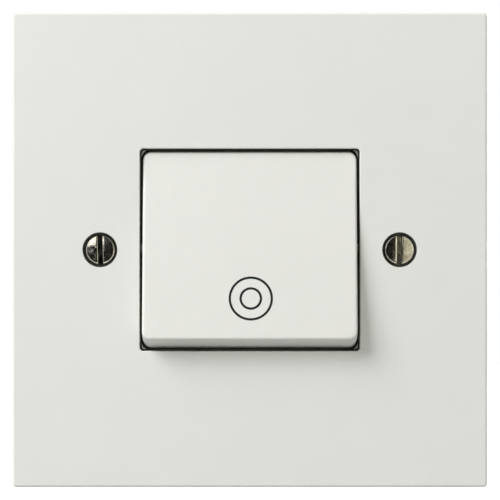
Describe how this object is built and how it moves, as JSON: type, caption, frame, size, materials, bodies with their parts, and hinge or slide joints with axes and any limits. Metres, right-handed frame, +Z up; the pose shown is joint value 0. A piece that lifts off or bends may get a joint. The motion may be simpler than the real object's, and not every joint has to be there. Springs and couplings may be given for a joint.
{
  "type": "push button light switch",
  "caption": "Square off-white wall plate with a wide rocking push key that springs back, held by slotted screws, with its contact mechanism behind.",
  "frame": {"origin": "in the wall plane that the plate's rear rim touches, midway between the two fixing screws", "axes": "+X to the right as seen from the front, +Y into the wall, +Z up; the key faces -Y"},
  "size_m": [0.095, 0.0372, 0.095],
  "materials": {
    "plate": "off-white moulded urea, satin gloss",
    "key": "off-white moulded urea, satin gloss, two printed black rings",
    "nickel": "bright nickel-plated steel",
    "frame_grey": "grey moulded polyamide",
    "base_grey": "light grey moulded polyamide",
    "nylon": "natural nylon",
    "spring_steel": "bright spring steel",
    "brass": "rolled brass",
    "silver": "silver alloy contact",
    "zinc_steel": "zinc-plated steel"
  },
  "bodies": {
    "housing": {"cover_plate": "plate", "fixing_screw_left": "nickel", "fixing_screw_right": "nickel", "mechanism_frame": "frame_grey", "mechanism_base": "base_grey", "return_spring": "spring_steel", "fixed_tip_left": "silver", "fixed_tip_right": "silver", "fixed_strip_left": "brass", "fixed_strip_right": "brass", "terminal_block_left": "brass", "terminal_block_right": "brass", "terminal_screw_left": "zinc_steel", "terminal_screw_right": "zinc_steel"},
    "key": {"rocker_key": "key"},
    "plunger": {"plunger": "nylon", "contact_bridge": "brass", "bridge_tip_left": "silver", "bridge_tip_right": "silver", "contact_spring": "spring_steel"}
  },
  "joints": [
    {"name": "key_rock", "type": "hinge", "parent": "housing", "child": "key", "pos_m": [0, -0.004, 0], "axis": [1, 0, 0], "range_deg": [0, 7.8], "stiffness_Nm_per_rad": 0.19, "springref_deg": -7.73},
    {"name": "plunger_slide", "type": "slide", "parent": "housing", "child": "plunger", "axis": [0, 1, 0], "range_m": [0, 0.00157], "deforming": ["return_spring"]}
  ],
  "couplings": [
    {"joint": "plunger_slide", "follows": "key_rock", "m_per_rad": 0.011546}
  ]
}
